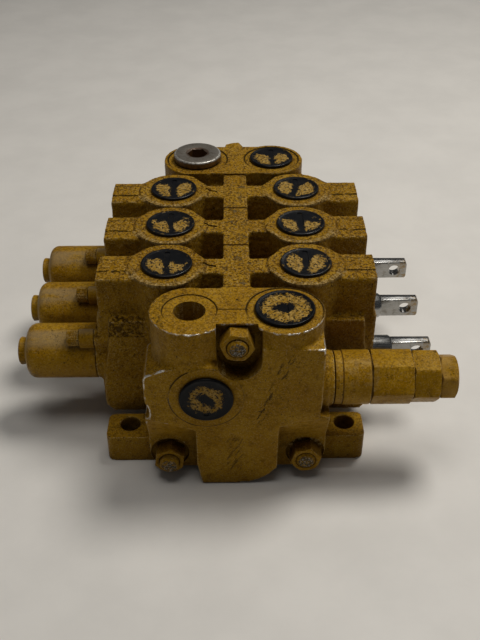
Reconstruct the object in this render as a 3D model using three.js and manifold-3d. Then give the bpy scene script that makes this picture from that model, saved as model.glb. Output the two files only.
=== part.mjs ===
// Hydraulic sectional directional control valve: an inlet cover, three work sections and
// an outlet cover, clamped by three tie rods, with spring-centred spools, load checks and
// an adjustable relief valve. Millimetres, +Z up, +X towards the spool eyes, +Y along the stack.
import * as THREE from "three";
import { mergeVertices } from "three/addons/utils/BufferGeometryUtils.js";
import Module from "manifold-3d";

const wasm = await Module();
wasm.setup();

// ---- Driving dimensions ----
const PITCH = 44.45; // length of one section along the stack
const SECTIONS = 3;
const GAP = 0.3; // clearance kept between pieces that touch
const TOP = 110; // machined top plane above the feet
const BODY_BOTTOM = 0.6; // castings clear the bench, the feet touch it

const PORT_X = 39.7; // work ports each side of the centre line
const BOSS_R = 22; // round port boss of a section
const PORT_BORE_R = 10.2;
const CAP_HEAD_R = 14.75; // dust cap of a work port
const BIG_CAP_HEAD_R = 16.15; // dust cap of the larger inlet port
const CAP_HEAD_T = 2.5;

const BAR_FRONT = 13.3; // from a section's middle to the front of its bars
const BAR_REAR = 11.75; // and to their back
const BAR_TOP_END = 79.4; // half length of a section at its top
const BAR_END = 81; // half length of a section at the spool
const SPINE_HALF = 7.7; // ridge over the top tie rod
const WEB_HALF = 7.5; // web from the ridge to a boss
const WEB_END = 19.5; // where the web starts to widen towards its boss
const RECESS_FLOOR = 88;
const MIDDLE_HALF = 50; // half width of the full-thickness middle
const PAD_HALF = 19; // half thickness of the thick outer ends

const SPOOL_Z = 48.5;
const SPOOL_R = 7.95;
const SPOOL_BORE_R = SPOOL_R + GAP;
const EYE_END = 118;
const EYE_HOLE = { x: 109.7, r: 3.9 };

const SPOOL_CAP_R = 16.7;
const SPOOL_CAP_SEAT = -84; // joint between a spool cap and its section
const SPOOL_CAP_END = -131.6;
const CAP_SCREW_R = 20; // cap screws from the spool's axis
const CAP_SCREW_ANGLE = (Math.PI * 2) / 3;

const PRESSURE = { x: 0, z: 72, r: 4.6 }; // supply gallery through the stack
const TANK = { x: 22, z: 28, r: 6.5 }; // return galleries, one each side

const COVER_X = 25.4; // cover ports each side of the centre line
const COVER_BOSS_R = 21.5;
const PLUG_BOSS_R = 23; // the outlet cover's boss under its plug
const COVER_FACE = 21; // cover's outer face from its row of ports
const PORT_FACE = 21.8; // face of the front port boss, slightly proud of the cover
const COVER_HALF = 46.3;
const INLET_BORE_R = 8.7;
const SPOTFACE_R = 14.7; // sealing face round the open port
const FRONT_PORT = { x: -17, z: 67 };
const RELIEF = { z: 63, r: 15.4 };

const ROD_R = 5.55;
const ROD_HOLE_R = ROD_R + 0.45;
const RODS = [
  { name: "top", x: 0, z: 99.5, seat: -10, end: -21.8 },
  { name: "left", x: -39.4, z: 15, seat: -8, end: -21.6 },
  { name: "right", x: 39.4, z: 15, seat: -8, end: -19.2 },
];
const NUT_FLATS = 16;
const NUT_T = 9.5;
const POCKET_TOP = 108.6; // a thin lip of the top plate covers the top nut

const FOOT = {
  left: 77.6, right: 75.5, near: -1.5, far: 19.5, height: 19, holeX: 64, holeY: 10.5, holeR: 6.15,
};

// Facets round a circle, by how much of the shape it carries.
const FINE = 24;
const ROUND = 16;
const SMALL = 10;
const TINY = 6;

// ---- Places that follow from them ----
const FIRST_ROW = PITCH; // the inlet cover's ports are at y = 0
const LAST_ROW = PITCH * (SECTIONS + 1);
const HALF = PITCH / 2 - GAP / 2; // half thickness of a section
const INLET_JOINT = HALF;
const OUTLET_FACE = LAST_ROW + COVER_FACE;
const REAR_ROD_END = OUTLET_FACE + GAP + NUT_T + 2;
const RELIEF_END = 122.2;
const FRONT_END = -PORT_FACE - CAP_HEAD_T;
const CENTRE = [(SPOOL_CAP_END + RELIEF_END) / 2, (FRONT_END + REAR_ROD_END) / 2];

// ---- Materials ----
const paint = new THREE.MeshStandardMaterial({ color: 0xb5891d, roughness: 0.55, metalness: 0.1 });
const steel = new THREE.MeshStandardMaterial({ color: 0x8d8b86, roughness: 0.45, metalness: 0.9 });
const chrome = new THREE.MeshStandardMaterial({ color: 0xd6d6d4, roughness: 0.2, metalness: 1 });
const plastic = new THREE.MeshStandardMaterial({ color: 0x17181b, roughness: 0.4, metalness: 0 });
const rubber = new THREE.MeshStandardMaterial({ color: 0x111111, roughness: 0.8, metalness: 0 });
const spring = new THREE.MeshStandardMaterial({ color: 0x6f7074, roughness: 0.35, metalness: 0.9 });

// ---- Solids ----
const X = new THREE.Vector3(1, 0, 0);
const Y = new THREE.Vector3(0, 1, 0);
const Z = new THREE.Vector3(0, 0, 1);

// A closed three.js geometry as a solid to join and cut.
function solid(geometry) {
  const bare = geometry.index ? geometry.toNonIndexed() : geometry.clone();
  bare.deleteAttribute("normal");
  bare.deleteAttribute("uv");
  const merged = mergeVertices(bare, 1e-4);
  const corners = merged.index.array;
  const triangles = [];
  for (let i = 0; i < corners.length; i += 3) {
    const [a, b, c] = corners.slice(i, i + 3);
    if (a !== b && b !== c && c !== a) triangles.push(a, b, c);
  }
  const vertProperties = merged.attributes.position.array;
  const make = (list) =>
    new wasm.Manifold(new wasm.Mesh({ numProp: 3, vertProperties, triVerts: new Uint32Array(list) }));
  const made = make(triangles);
  return made.volume() < 0 ? make(triangles.reverse()) : made;
}

function geometryOf(body) {
  const mesh = body.getMesh();
  const geometry = new THREE.BufferGeometry();
  geometry.setAttribute("position", new THREE.BufferAttribute(mesh.vertProperties, 3));
  geometry.setIndex(new THREE.BufferAttribute(mesh.triVerts, 1));
  const faceted = geometry.toNonIndexed();
  faceted.computeVertexNormals();
  return faceted;
}

const join = (first, ...others) => others.reduce((body, other) => body.add(other), first);
const cut = (first, ...others) => others.reduce((body, other) => body.subtract(other), first);

// Turns geometry made along +Z (an extrusion) or +Y (a turned piece) onto a named axis.
const EXTRUDED = {
  x: new THREE.Matrix4().makeBasis(Y, Z, X),
  y: new THREE.Matrix4().makeBasis(X, Z, Y.clone().negate()),
  z: new THREE.Matrix4(),
};
const TURNED = {
  x: new THREE.Matrix4().makeBasis(Z, X, Y),
  y: new THREE.Matrix4(),
  z: new THREE.Matrix4().makeBasis(Y, Z, X),
};

// An outline in the two other axes (y-z, x-z or x-y), extruded along one axis.
function prism(outline, axis, from, to, curveSegments = 6) {
  const options = { depth: to - from, bevelEnabled: false, curveSegments };
  const geometry = new THREE.ExtrudeGeometry(outline, options);
  geometry.applyMatrix4(EXTRUDED[axis]);
  const start = { x: [from, 0, 0], y: [0, to, 0], z: [0, 0, from] }[axis];
  return solid(geometry.translate(...start));
}

function box(x0, x1, y0, y1, z0, z1) {
  const geometry = new THREE.BoxGeometry(x1 - x0, y1 - y0, z1 - z0);
  return solid(geometry.translate((x0 + x1) / 2, (y0 + y1) / 2, (z0 + z1) / 2));
}

// A profile of [place along the axis, radius] points, turned round an axis through `at`.
function turned(profile, axis, at, segments = ROUND) {
  const points = profile.map(([along, radius]) => new THREE.Vector2(radius, along));
  const geometry = new THREE.LatheGeometry(points, segments);
  return solid(geometry.applyMatrix4(TURNED[axis]).translate(...at));
}

function rod(axis, radius, from, to, at, segments = ROUND) {
  return turned([[from, 0], [from, radius], [to, radius], [to, 0]], axis, at, segments);
}

// A ring between two radii.
function ring(axis, inner, outer, from, to, at, segments = ROUND) {
  const profile = [[from, inner], [from, outer], [to, outer], [to, inner], [from, inner]];
  return turned(profile, axis, at, segments);
}

function polygon(points) {
  return new THREE.Shape(points.map(([a, b]) => new THREE.Vector2(a, b)));
}

// A hexagon with its flats `flats` apart; turn 0 puts a corner along the first axis.
function hexagon(a, b, flats, turn = 0) {
  const reach = flats / 2 / Math.cos(Math.PI / 6);
  const corner = (i) => turn + (i * Math.PI) / 3;
  return polygon(
    [0, 1, 2, 3, 4, 5].map((i) => [a + reach * Math.cos(corner(i)), b + reach * Math.sin(corner(i))]),
  );
}

// A box with its four upright corners rounded.
function roundedBlock(x0, x1, y0, y1, z0, z1, radius) {
  const shape = new THREE.Shape();
  shape.absarc(x1 - radius, y1 - radius, radius, 0, Math.PI / 2, false);
  shape.absarc(x0 + radius, y1 - radius, radius, Math.PI / 2, Math.PI, false);
  shape.absarc(x0 + radius, y0 + radius, radius, Math.PI, Math.PI * 1.5, false);
  shape.absarc(x1 - radius, y0 + radius, radius, Math.PI * 1.5, Math.PI * 2, false);
  return prism(shape, "z", z0, z1, 3);
}

class Helix extends THREE.Curve {
  constructor(radius, turns, from, to) {
    super();
    Object.assign(this, { radius, turns, from, to });
  }
  getPoint(t, target = new THREE.Vector3()) {
    const angle = t * this.turns * Math.PI * 2;
    const along = this.from + t * (this.to - this.from);
    return target.set(this.radius * Math.cos(angle), along, this.radius * Math.sin(angle));
  }
}

// A coil spring of round wire, with its axis along `axis` through `at`.
function coilSpring(axis, at, { radius, wire, turns, from, to }) {
  const section = new THREE.Shape().absarc(0, 0, wire / 2, 0, Math.PI * 2, false);
  const path = new Helix(radius, turns, from + wire / 2, to - wire / 2);
  const options = { extrudePath: path, steps: turns * 6, curveSegments: 2, bevelEnabled: false };
  const geometry = new THREE.ExtrudeGeometry(section, options);
  return solid(geometry.applyMatrix4(TURNED[axis]).translate(...at));
}

// ---- The assembly ----
const valve = new THREE.Group();
const assembly = new THREE.Group();
assembly.position.set(-CENTRE[0], -CENTRE[1], 0); // the origin is under the middle of the box
valve.add(assembly);

function place(name, body, material, row = 0) {
  const mesh = new THREE.Mesh(geometryOf(body), material);
  mesh.name = name;
  mesh.position.y = row;
  assembly.add(mesh);
}

const SIDES = [
  { name: "left", sign: -1 },
  { name: "right", sign: 1 },
];

// ---- Work section ----
// Half of a section's top in plan: ridge, web, round boss flared to the web, bar.
function sectionTop(sign) {
  const flare = Math.atan2(18, 27 - PORT_X);
  const side = (bar) => {
    const meet = Math.asin(bar / BOSS_R);
    const half = [[0, HALF], [SPINE_HALF, HALF], [SPINE_HALF, WEB_HALF], [WEB_END, WEB_HALF]];
    for (let i = 0; i <= 6; i += 1) {
      const angle = flare + ((meet - flare) * i) / 6;
      half.push([PORT_X + BOSS_R * Math.cos(angle), BOSS_R * Math.sin(angle)]);
    }
    return [...half, [BAR_TOP_END, bar]];
  };
  const front = side(BAR_FRONT).map(([x, y]) => [x, -y]).reverse();
  const outline = [...side(BAR_REAR), ...front].map(([x, y]) => [sign * x, y]);
  return prism(polygon(outline), "z", 74, TOP);
}

// The ends of a section seen along the stack, outside its middle.
function sectionEnd(sign) {
  const bar = [
    [40, 12], [77, 12], [BAR_END, 17], [BAR_END, 82], [BAR_TOP_END, 86],
    [BAR_TOP_END, 108], [40, 108],
  ];
  const pad = [[40, 16], [75.5, 16], [80, 21.5], [79, 42], [74.5, 68], [73.5, 84], [40, 84]];
  const mirrored = (points) => polygon(points.map(([x, z]) => [sign * x, z]));
  return join(
    prism(mirrored(bar), "y", -BAR_FRONT, BAR_REAR),
    prism(mirrored(pad), "y", -PAD_HALF, PAD_HALF),
  );
}

// Seat and screw lugs for a spool cap, in the y-z plane.
function capOutline(reach) {
  const shape = new THREE.Shape();
  const ear = 5.2;
  const along = [Math.cos(CAP_SCREW_ANGLE) * CAP_SCREW_R, Math.sin(CAP_SCREW_ANGLE) * CAP_SCREW_R];
  const start = CAP_SCREW_ANGLE - Math.PI / 2;
  shape.absarc(along[0], SPOOL_Z + along[1], ear, start, start + Math.PI, false);
  shape.absarc(-along[0], SPOOL_Z - along[1], ear, start + Math.PI, start + Math.PI * 2, false);
  const seat = rod("x", SPOOL_CAP_R, ...reach, [0, 0, SPOOL_Z], FINE);
  return join(prism(shape, "x", ...reach, 3), seat);
}

const screwPlaces = [1, -1].map((sign) => [
  0,
  sign * Math.cos(CAP_SCREW_ANGLE) * CAP_SCREW_R,
  SPOOL_Z + sign * Math.sin(CAP_SCREW_ANGLE) * CAP_SCREW_R,
]);
const CAP_EAR_END = -92.7;
const SCREW_HOLE_R = 3.2;
const SCREW_END = -70;

// Galleries, bores and drillings that open a section's casting.
function sectionCuts() {
  const spoolAt = [0, 0, SPOOL_Z];
  const ports = SIDES.flatMap(({ sign }) => [
    rod("z", PORT_BORE_R, 82, TOP + 1, [sign * PORT_X, 0, 0]),
    rod("z", 6, SPOOL_Z, 83, [sign * PORT_X, 0, 0], TINY),
    rod("y", TANK.r, -HALF - 1, HALF + 1, [sign * TANK.x, 0, TANK.z], SMALL),
    rod("z", 4, TANK.z, SPOOL_Z, [sign * TANK.x, 0, 0], TINY),
  ]);
  const supply = [
    rod("y", PRESSURE.r, -HALF - 1, 1, [PRESSURE.x, 0, PRESSURE.z], SMALL),
    rod("y", CHECK.bore, 1, HALF + 1, [PRESSURE.x, 0, PRESSURE.z], SMALL),
    rod("z", 4, SPOOL_Z, PRESSURE.z, [0, 9, 0], TINY),
  ];
  const clamps = RODS.map(({ x, z }) => rod("y", ROD_HOLE_R, -HALF - 1, HALF + 1, [x, 0, z], SMALL));
  const screws = screwPlaces.map((at) => rod("x", SCREW_HOLE_R, -90, SCREW_END + 1, at, TINY));
  const bore = rod("x", SPOOL_BORE_R, -90, 90, spoolAt);
  const sealSeat = rod("x", 11.3, 76.7, 90, spoolAt);
  return [...ports, ...supply, ...clamps, ...screws, bore, sealSeat];
}

const CHECK = { bore: 7, nose: 4.2, body: 6.7, open: 3 };

function workSection() {
  const middle = [
    [-42, 2.5], [42, 2.5], [MIDDLE_HALF, 10], [MIDDLE_HALF, RECESS_FLOOR],
    [-MIDDLE_HALF, RECESS_FLOOR], [-MIDDLE_HALF, 10],
  ];
  const casting = join(
    prism(polygon(middle), "y", -HALF, HALF),
    ...SIDES.flatMap(({ sign }) => [sectionTop(sign), sectionEnd(sign)]),
    capOutline([SPOOL_CAP_SEAT + GAP, -72]),
  );
  return cut(casting, ...sectionCuts());
}

// ---- Spool and its centring set ----
const TAIL = { shoulder: -86, r: 4, head: -113, headEnd: -116.5, headR: 5.8 };
const COLLAR_T = 3;

function spoolSolid() {
  const neck = 5;
  const grooves = [-31, -11, 11, 31];
  const profile = [
    [TAIL.headEnd, 0], [TAIL.headEnd, TAIL.headR], [TAIL.head, TAIL.headR], [TAIL.head, TAIL.r],
    [TAIL.shoulder, TAIL.r], [TAIL.shoulder, SPOOL_R],
  ];
  grooves.forEach((x) => {
    profile.push([x - 6, SPOOL_R], [x - 4.5, neck], [x + 4.5, neck], [x + 6, SPOOL_R]);
  });
  profile.push([92.5, SPOOL_R], [94, SPOOL_R - 1.2], [EYE_END, SPOOL_R - 1.2], [EYE_END, 0]);
  const at = [0, 0, SPOOL_Z];
  const eye = { half: 3.2, rise: 6.4 };
  const flats = [1, -1].flatMap((sign) => {
    const sides = [sign * eye.half, sign * 10].sort((a, b) => a - b);
    const ends = [sign * eye.rise, sign * 10].sort((a, b) => a - b);
    return [
      box(94, EYE_END + 1, ...sides, SPOOL_Z - 10, SPOOL_Z + 10),
      box(94, EYE_END + 1, -10, 10, SPOOL_Z + ends[0], SPOOL_Z + ends[1]),
    ];
  });
  const hole = rod("y", EYE_HOLE.r, -10, 10, [EYE_HOLE.x, 0, SPOOL_Z], SMALL);
  return cut(turned(profile, "x", at, 12), ...flats, hole);
}

// The outer collar sits against the tail's head, the inner one against the shoulder.
function collar(seatSide) {
  const from = seatSide === "inner" ? TAIL.shoulder - GAP - COLLAR_T : TAIL.head + GAP;
  const at = [0, 0, SPOOL_Z];
  return ring("x", TAIL.r + GAP, 11.4, from, from + COLLAR_T, at, SMALL);
}

function spoolCap() {
  const at = [0, 0, SPOOL_Z];
  const outside = [
    [CAP_EAR_END, 0], [CAP_EAR_END, SPOOL_CAP_R], [-120, SPOOL_CAP_R], [-123.4, 15], [-126.4, 11.4],
    [-126.7, 8.5], [SPOOL_CAP_END + 0.8, 8.5], [SPOOL_CAP_END, 7.6], [SPOOL_CAP_END, 0],
  ];
  const cavity = [
    [SPOOL_CAP_SEAT + 1, 0], [SPOOL_CAP_SEAT + 1, 12], [TAIL.head, 12],
    [TAIL.head, 6.6], [-128.2, 6.6], [-128.2, 0],
  ];
  const shell = join(turned(outside, "x", at), capOutline([CAP_EAR_END, SPOOL_CAP_SEAT]));
  const holes = screwPlaces.map((place) => rod("x", SCREW_HOLE_R, -99.6, -80, place, TINY));
  const headRooms = screwPlaces.map((place) => rod("x", 5.3, -110, CAP_EAR_END, place, SMALL));
  return cut(shell, turned(cavity, "x", at, SMALL), ...holes, ...headRooms);
}

function capScrew(at) {
  const head = rod("x", 5, -100, CAP_EAR_END - GAP, at, SMALL);
  const shank = rod("x", 2.9, CAP_EAR_END - 1, SCREW_END, at, TINY);
  return cut(join(head, shank), prism(hexagon(at[1], at[2], 5), "x", -101, -96.5));
}

// ---- Small pieces ----
// A push-in dust cap: flanged head with a turning slot, plug below.
function dustCap(headR, plugR) {
  const slot = box(-2.4, 2.4, -headR * 0.5, headR * 0.5, TOP + GAP + 0.8, TOP + 5);
  const profile = [
    [TOP - 9, 0], [TOP - 9, plugR], [TOP + GAP, plugR], [TOP + GAP, headR],
    [TOP + CAP_HEAD_T, headR], [TOP + CAP_HEAD_T, 0],
  ];
  return cut(turned(profile, "z", [0, 0, 0]), slot);
}

function hexNut(x, z, from) {
  const hole = rod("y", ROD_R + GAP, from - 1, from + NUT_T + 1, [x, 0, z], SMALL);
  return cut(prism(hexagon(x, z, NUT_FLATS), "y", from, from + NUT_T), hole);
}

function checkPoppet() {
  const profile = [
    [-4, 0], [-4, CHECK.nose - 1], [1, CHECK.nose - 0.2], [1 + GAP, CHECK.nose],
    [4, CHECK.body], [13, CHECK.body], [13, 4.6], [6, 4.6], [6, 0],
  ];
  return turned(profile, "y", [PRESSURE.x, 0, PRESSURE.z], SMALL);
}

// ---- Inlet cover ----
// Round bosses at the top joined by a plate whose outer edge is notched for the top nut.
function coverTop(notch, back, radii) {
  const plate = [
    [-COVER_X, notch], [COVER_X, notch], [COVER_X, COVER_BOSS_R - 0.6], [8, COVER_BOSS_R - 0.6],
    [8, back], [-8, back], [-8, COVER_BOSS_R - 0.6], [-COVER_X, COVER_BOSS_R - 0.6],
  ];
  return join(
    prism(polygon(plate), "z", 45, TOP),
    ...SIDES.map(({ name, sign }) => rod("z", radii[name], 45, TOP, [sign * COVER_X, 0, 0], FINE)),
  );
}

// The block below the bosses, seen from the front of the stack.
const coverBlock = polygon([
  [-20.6, BODY_BOTTOM], [0, BODY_BOTTOM], [7, 1.4], [13, 3.6], [18.5, 7.8], [22.6, 12.8], [23.4, 48],
  [45, 50], [COVER_HALF, 61], [COVER_HALF, 99.5], [8, 99.5], [8, 80], [0, 86], [-20, 89],
  [-40, 86], [-49.5, 82], [-50.8, 79], [-50.8, 64], [-48.7, 59], [-48.7, 50.6], [-36, 46.5],
  [-23.4, 42], [-23.3, 15],
]);

// Lower corners around the tie rods: round lugs below, sloping out to the block above.
function coverLugs(face) {
  const outline = new THREE.Shape();
  const low = RODS[1];
  outline.absarc(-low.x, low.z, 11.6, -Math.PI / 2, 0, false);
  outline.lineTo(-low.x + 11.6, 52);
  outline.lineTo(low.x - 11.6, 52);
  outline.absarc(low.x, low.z, 11.6, Math.PI, Math.PI * 1.5, false);
  const slope = polygon([[30, 0], [face, 0], [face, 29], [-20.5, 49], [-20.5, 60], [30, 60]]);
  return prism(outline, "y", -30, INLET_JOINT, 4).intersect(prism(slope, "x", -60, 60));
}

function feet() {
  return SIDES.map(({ name, sign }) => {
    const ends = [sign * 40, sign * FOOT[name]].sort((a, b) => a - b);
    const block = roundedBlock(...ends, FOOT.near, FOOT.far, 0, FOOT.height, 4);
    return cut(block, rod("z", FOOT.holeR, -1, FOOT.height + 1, [sign * FOOT.holeX, FOOT.holeY, 0]));
  });
}

function inletCover() {
  const at = [FRONT_PORT.x, 0, FRONT_PORT.z];
  const joint = [[-44, 3], [44, 3], [46, 6], [46, 96], [-46, 96], [-46, 6]];
  const body = join(
    coverTop(-12, INLET_JOINT, { left: COVER_BOSS_R, right: COVER_BOSS_R }),
    prism(coverBlock, "y", -COVER_FACE, 8),
    rod("y", 20.5, -PORT_FACE, 0, at, FINE),
    prism(polygon(joint), "y", 0, INLET_JOINT),
    coverLugs(-10),
    rod("x", 16.4, 30, 50, [0, 0, RELIEF.z], FINE),
    rod("x", RELIEF.r, 50, 53.3, [0, 0, RELIEF.z], FINE),
    ...feet(),
  );
  const pocket = new THREE.Shape();
  pocket.absarc(1, 91, 12, Math.PI, Math.PI * 2, false);
  pocket.lineTo(13, POCKET_TOP);
  pocket.lineTo(-11, POCKET_TOP);
  const notch = polygon([[-11.2, -30], [10.9, -30], [10.9, -12], [-11.2, -12]]);
  const seats = RODS.slice(1).map(({ x, z, seat }) => rod("y", 10.6, -30, seat, [x, 0, z]));
  return cut(
    body,
    prism(pocket, "y", -30, RODS[0].seat, 4),
    prism(notch, "z", 100, TOP + 1),
    ...seats,
    ...RODS.map(({ x, z }) => rod("y", ROD_HOLE_R, -30, 30, [x, 0, z], SMALL)),
    rod("z", INLET_BORE_R, 76, TOP + 1, [-COVER_X, 0, 0]),
    rod("z", SPOTFACE_R, TOP - 0.4, TOP + 1, [-COVER_X, 0, 0], FINE),
    rod("z", 12.3, 86, TOP + 1, [COVER_X, 0, 0]),
    rod("z", 5, TANK.z, 87, [COVER_X, 12, 0], TINY),
    rod("y", PORT_BORE_R, -30, 0, at),
    rod("x", 10, -20, 60, [0, 0, RELIEF.z]),
    rod("y", PRESSURE.r, 0, 30, [PRESSURE.x, 0, PRESSURE.z], SMALL),
    ...SIDES.map(({ sign }) => rod("y", TANK.r, 8, 30, [sign * TANK.x, 0, TANK.z], SMALL)),
  );
}

// ---- Outlet cover ----
const PLUG = { headR: 16.1, shankR: 12.8, rise: 5, flats: 12.3 };

function outletCover() {
  const block = new THREE.Shape();
  block.absarc(-RODS[1].x, RODS[1].z, 11.6, -Math.PI / 2, 0, false);
  block.lineTo(-RODS[1].x + 8, 50);
  block.lineTo(COVER_HALF, 96);
  block.lineTo(-COVER_HALF, 96);
  block.lineTo(RODS[1].x - 8, 50);
  block.absarc(RODS[1].x, RODS[1].z, 11.6, Math.PI, Math.PI * 1.5, false);
  const lowerBlock = prism(block, "y", -HALF, COVER_FACE, 4);
  // The feet and the top follow the inlet cover's, so they are made there and turned round.
  const radii = { left: COVER_BOSS_R, right: PLUG_BOSS_R };
  const turnedRound = join(coverTop(-COVER_FACE + 1.3, HALF, radii), ...feet()).rotate([0, 0, 180]);
  const shelves = [box(40, 51.5, -HALF, -6, 60, 101), box(-26, -8, -HALF, -5, 80, 100.5)];
  const plugAt = [-COVER_X, 0, 0];
  const portAt = [COVER_X, 0, 0];
  return cut(
    join(lowerBlock, turnedRound, ...shelves),
    box(-60, 60, -30, -HALF, 0, TOP + 1),
    ...RODS.map(({ x, z }) => rod("y", ROD_HOLE_R, -30, 30, [x, 0, z], SMALL)),
    rod("z", PLUG.shankR + GAP, 88, TOP + 1, plugAt),
    rod("z", 6, PRESSURE.z, 89, plugAt, TINY),
    rod("x", 5, -COVER_X, 0, [0, 0, PRESSURE.z], TINY),
    rod("y", PRESSURE.r, -30, 2, [PRESSURE.x, 0, PRESSURE.z], SMALL),
    rod("z", PORT_BORE_R, 88, TOP + 1, portAt),
    rod("z", 6, TANK.z, 89, portAt, TINY),
    rod("x", 5, -TANK.x, COVER_X, [0, 0, TANK.z], TINY),
    ...SIDES.map(({ sign }) => rod("y", TANK.r, -30, 5, [sign * TANK.x, 0, TANK.z], SMALL)),
  );
}

function socketPlug() {
  const profile = [
    [92, 0], [92, PLUG.shankR], [TOP + GAP, PLUG.shankR], [TOP + GAP, PLUG.headR],
    [TOP + PLUG.rise - 1, PLUG.headR], [TOP + PLUG.rise, PLUG.headR - 1], [TOP + PLUG.rise, 0],
  ];
  const socket = prism(hexagon(-COVER_X, 0, PLUG.flats), "z", TOP - 6, TOP + 10);
  return cut(turned(profile, "z", [-COVER_X, 0, 0], FINE), socket);
}

// ---- Relief valve, along +X ----
const RELIEF_STEPS = { collar: 53.6, barrel: 58, groove: 73.7, hex: 74.6, nut: 97.4, nutEnd: 111.9 };
const RELIEF_FLATS = { body: 27.6, nut: 26.9, adjuster: 23 };
const RELIEF_BORE = 7;
const RELIEF_AT = [0, 0, RELIEF.z];
const NUT_TURN = Math.PI / 20;
const ADJUSTER_TURN = (Math.PI * 7) / 45;

function reliefBody() {
  const { collar: collarFrom, barrel, groove, hex, nut } = RELIEF_STEPS;
  const profile = [
    [-4, 0], [-4, 9.7], [collarFrom, 9.7], [collarFrom, 15], [barrel, 15], [barrel, RELIEF.r],
    [groove, RELIEF.r], [groove, 13.6], [hex, 13.6], [hex, 0],
  ];
  const flats = prism(hexagon(0, RELIEF.z, RELIEF_FLATS.body), "x", hex, nut - GAP);
  const rounded = rod("x", 15.6, hex - 1, nut - GAP, RELIEF_AT);
  return cut(
    join(turned(profile, "x", RELIEF_AT, FINE), flats.intersect(rounded)),
    rod("x", 3.4, -5, 6, RELIEF_AT, SMALL),
    rod("x", RELIEF_BORE, 5, 100, RELIEF_AT, SMALL),
  );
}

function lockNut() {
  const { nut, nutEnd } = RELIEF_STEPS;
  return cut(
    prism(hexagon(0, RELIEF.z, RELIEF_FLATS.nut, NUT_TURN), "x", nut, nutEnd),
    rod("x", RELIEF_BORE, nut - 1, nutEnd + 1, RELIEF_AT, SMALL),
  );
}

function adjuster() {
  const from = RELIEF_STEPS.nutEnd + GAP;
  return join(
    prism(hexagon(0, RELIEF.z, RELIEF_FLATS.adjuster, ADJUSTER_TURN), "x", from, RELIEF_END),
    rod("x", RELIEF_BORE - GAP, 84, from + 1, RELIEF_AT, SMALL),
  );
}

const RELIEF_POPPET = { from: 6.3, body: 12, end: 22, r: 6.6 };

function reliefPoppet() {
  const { from, body, end, r } = RELIEF_POPPET;
  const profile = [[from - 4, 0], [from, 3.2], [body, r], [end, r], [end, 0]];
  return turned(profile, "x", RELIEF_AT, SMALL);
}

// ---- Place every piece ----
place("inlet_cover", inletCover(), paint);
place("outlet_cover", outletCover(), paint, LAST_ROW);
place("outlet_socket_plug", socketPlug(), steel, LAST_ROW);

const section = workSection();
const spool = spoolSolid();
const cap = spoolCap();
const poppet = checkPoppet();
const portCap = dustCap(CAP_HEAD_R, PORT_BORE_R - GAP);
const seal = ring("x", SPOOL_R + GAP, 11, 77, 80.6, [0, 0, SPOOL_Z]);
const spoolAt = [0, 0, SPOOL_Z];
const centringSpring = coilSpring("x", spoolAt, {
  radius: 8.6, wire: 2.4, turns: 5,
  from: TAIL.head + GAP * 2 + COLLAR_T, to: TAIL.shoulder - GAP * 2 - COLLAR_T,
});
const checkSpring = coilSpring("y", [PRESSURE.x, 0, PRESSURE.z], {
  radius: 3.4, wire: 1.2, turns: 4, from: 6 + GAP, to: HALF,
});

for (let i = 0; i < SECTIONS; i += 1) {
  const row = FIRST_ROW + i * PITCH;
  const number = i + 1;
  place(`work_section_${number}`, section, paint, row);
  place(`spool_${number}`, spool, chrome, row);
  place(`spool_cap_${number}`, cap, paint, row);
  place(`spool_seal_${number}`, seal, rubber, row);
  place(`centring_spring_${number}`, centringSpring, spring, row);
  place(`inner_collar_${number}`, collar("inner"), steel, row);
  place(`outer_collar_${number}`, collar("outer"), steel, row);
  place(`load_check_poppet_${number}`, poppet, steel, row);
  place(`load_check_spring_${number}`, checkSpring, spring, row);
  screwPlaces.forEach((at, j) => {
    place(`spool_cap_screw_${number}_${["upper", "lower"][j]}`, capScrew(at), paint, row);
  });
  SIDES.forEach(({ name, sign }) => {
    place(`port_cap_${number}_${name}`, portCap.translate([sign * PORT_X, 0, 0]), plastic, row);
  });
}

place("inlet_top_cap", dustCap(BIG_CAP_HEAD_R, 12).translate([COVER_X, 0, 0]), plastic);
place("outlet_top_cap", portCap.translate([COVER_X, 0, 0]), plastic, LAST_ROW);
const frontCap = portCap.rotate([90, 0, 0]).translate([FRONT_PORT.x, TOP - PORT_FACE, FRONT_PORT.z]);
place("inlet_front_cap", frontCap, plastic);

RODS.forEach(({ name, x, z, seat, end }) => {
  const profile = [
    [end, 0], [end, ROD_R - 1.3], [end + 1.3, ROD_R], [REAR_ROD_END - 1.3, ROD_R],
    [REAR_ROD_END, ROD_R - 1.3], [REAR_ROD_END, 0],
  ];
  place(`tie_rod_${name}`, turned(profile, "y", [x, 0, z], SMALL), steel);
  place(`front_nut_${name}`, hexNut(x, z, seat - GAP - NUT_T), paint);
  place(`rear_nut_${name}`, hexNut(x, z, OUTLET_FACE + GAP), paint);
});

place("relief_body", reliefBody(), paint);
place("relief_lock_nut", lockNut(), paint);
place("relief_adjuster", adjuster(), paint);
place("relief_poppet", reliefPoppet(), steel);
const reliefSpring = coilSpring("x", RELIEF_AT, {
  radius: 5, wire: 2.2, turns: 8, from: RELIEF_POPPET.end + GAP, to: 84 - GAP,
});
place("relief_spring", reliefSpring, spring);

export default valve;
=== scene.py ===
"""Looks of a painted hydraulic stack valve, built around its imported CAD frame.

Shapes are written in millimetres in the valve's own directions: x from the middle ridge, y from the row
of ports of the front cover, z from the bench. place() turns them into the frame's metres.
"""

import math

import bmesh
import bpy
import numpy as np
from mathutils import Matrix, Vector


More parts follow.
